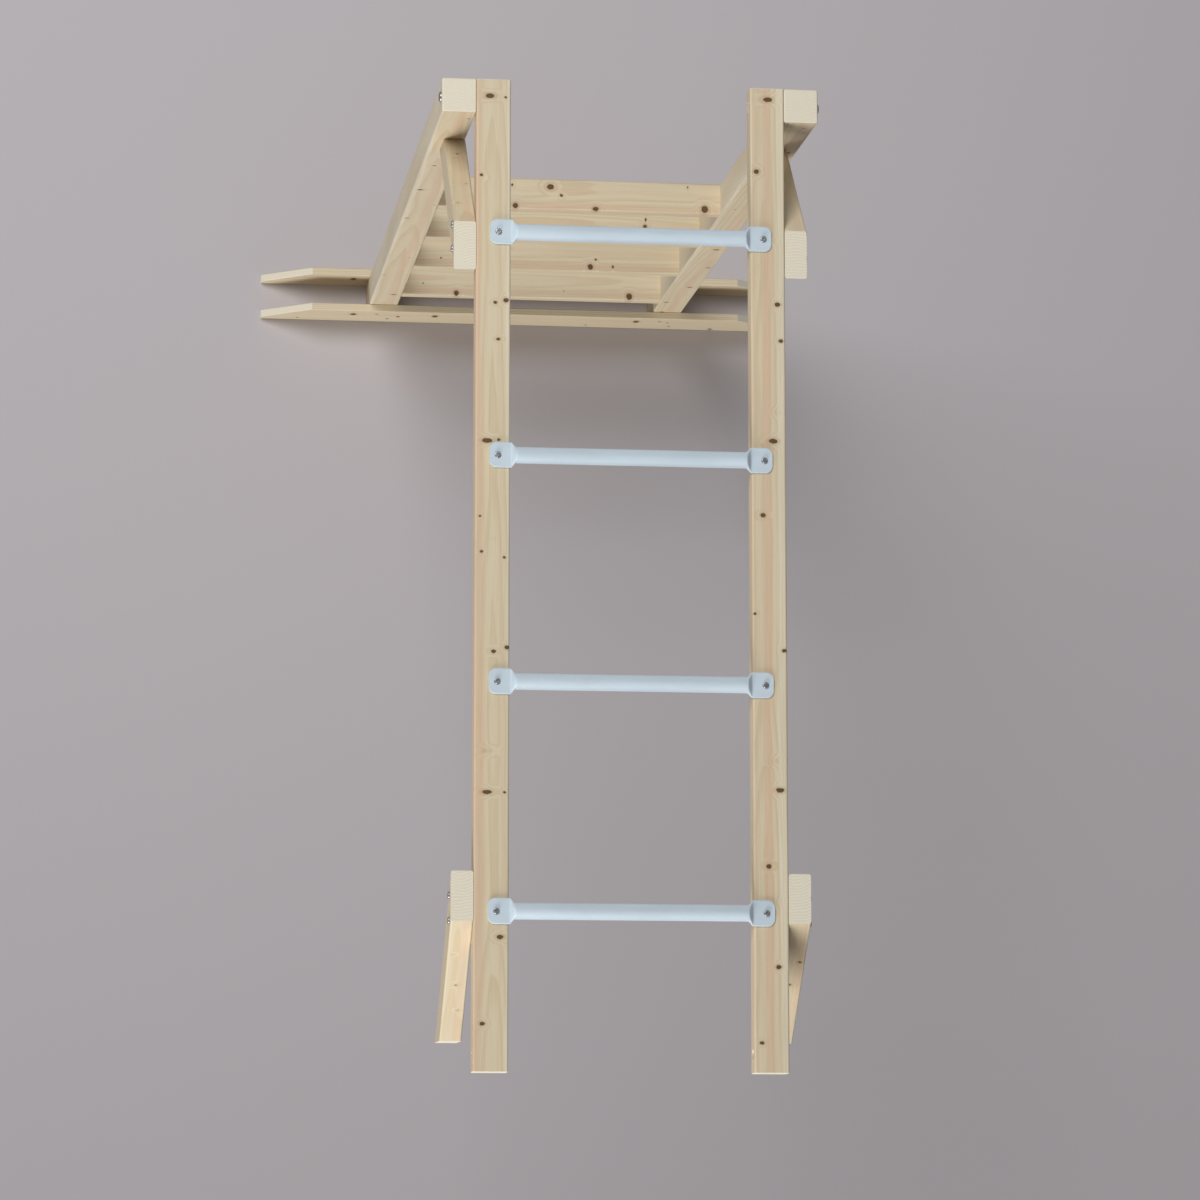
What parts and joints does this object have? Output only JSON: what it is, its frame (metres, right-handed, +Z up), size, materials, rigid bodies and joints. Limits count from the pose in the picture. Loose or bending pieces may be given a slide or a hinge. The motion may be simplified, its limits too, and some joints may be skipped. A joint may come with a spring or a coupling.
{
  "type": "monkey bars",
  "caption": "Overhead ladder of coated steel rungs on timber rails, carried at one end by a climbing frame with treads and foot planks, for bolting to a play tower at the other end.",
  "frame": {"origin": "on the ground, at the middle of the footprint", "axes": "+Z up, +X across the ladder to the right as seen from the tower, +Y along the ladder from the tower to the climbing frame"},
  "size_m": [1.29, 2.018, 2.0185],
  "materials": {
    "planed_timber": "planed pale spruce with rounded arrises and small dark knots",
    "tread_timber": "planed pale spruce board",
    "plank_timber": "planed pale spruce board, sawn slope at each end",
    "coated_steel": "pale blue-grey satin powder coat",
    "zinc_steel": "bright zinc plate, slightly dulled"
  },
  "bodies": {
    "root": {"rail_left": "planed_timber", "rail_right": "planed_timber", "post_left": "planed_timber", "post_right": "planed_timber", "tread_1": "tread_timber", "tread_2": "tread_timber", "tread_3": "tread_timber", "tread_4": "tread_timber", "foot_plank_front": "plank_timber", "foot_plank_back": "plank_timber", "brace_far_left": "planed_timber", "brace_far_right": "planed_timber", "brace_near_left": "planed_timber", "brace_near_right": "planed_timber", "rung_1": "coated_steel", "rung_2": "coated_steel", "rung_3": "coated_steel", "rung_4": "coated_steel", "rung_screws": "zinc_steel", "brace_rail_screws": "zinc_steel", "brace_post_screws": "zinc_steel", "tread_screws": "zinc_steel", "plank_screws": "zinc_steel", "post_bolts": "zinc_steel", "post_washers": "zinc_steel", "post_nuts": "zinc_steel"}
  },
  "joints": []
}
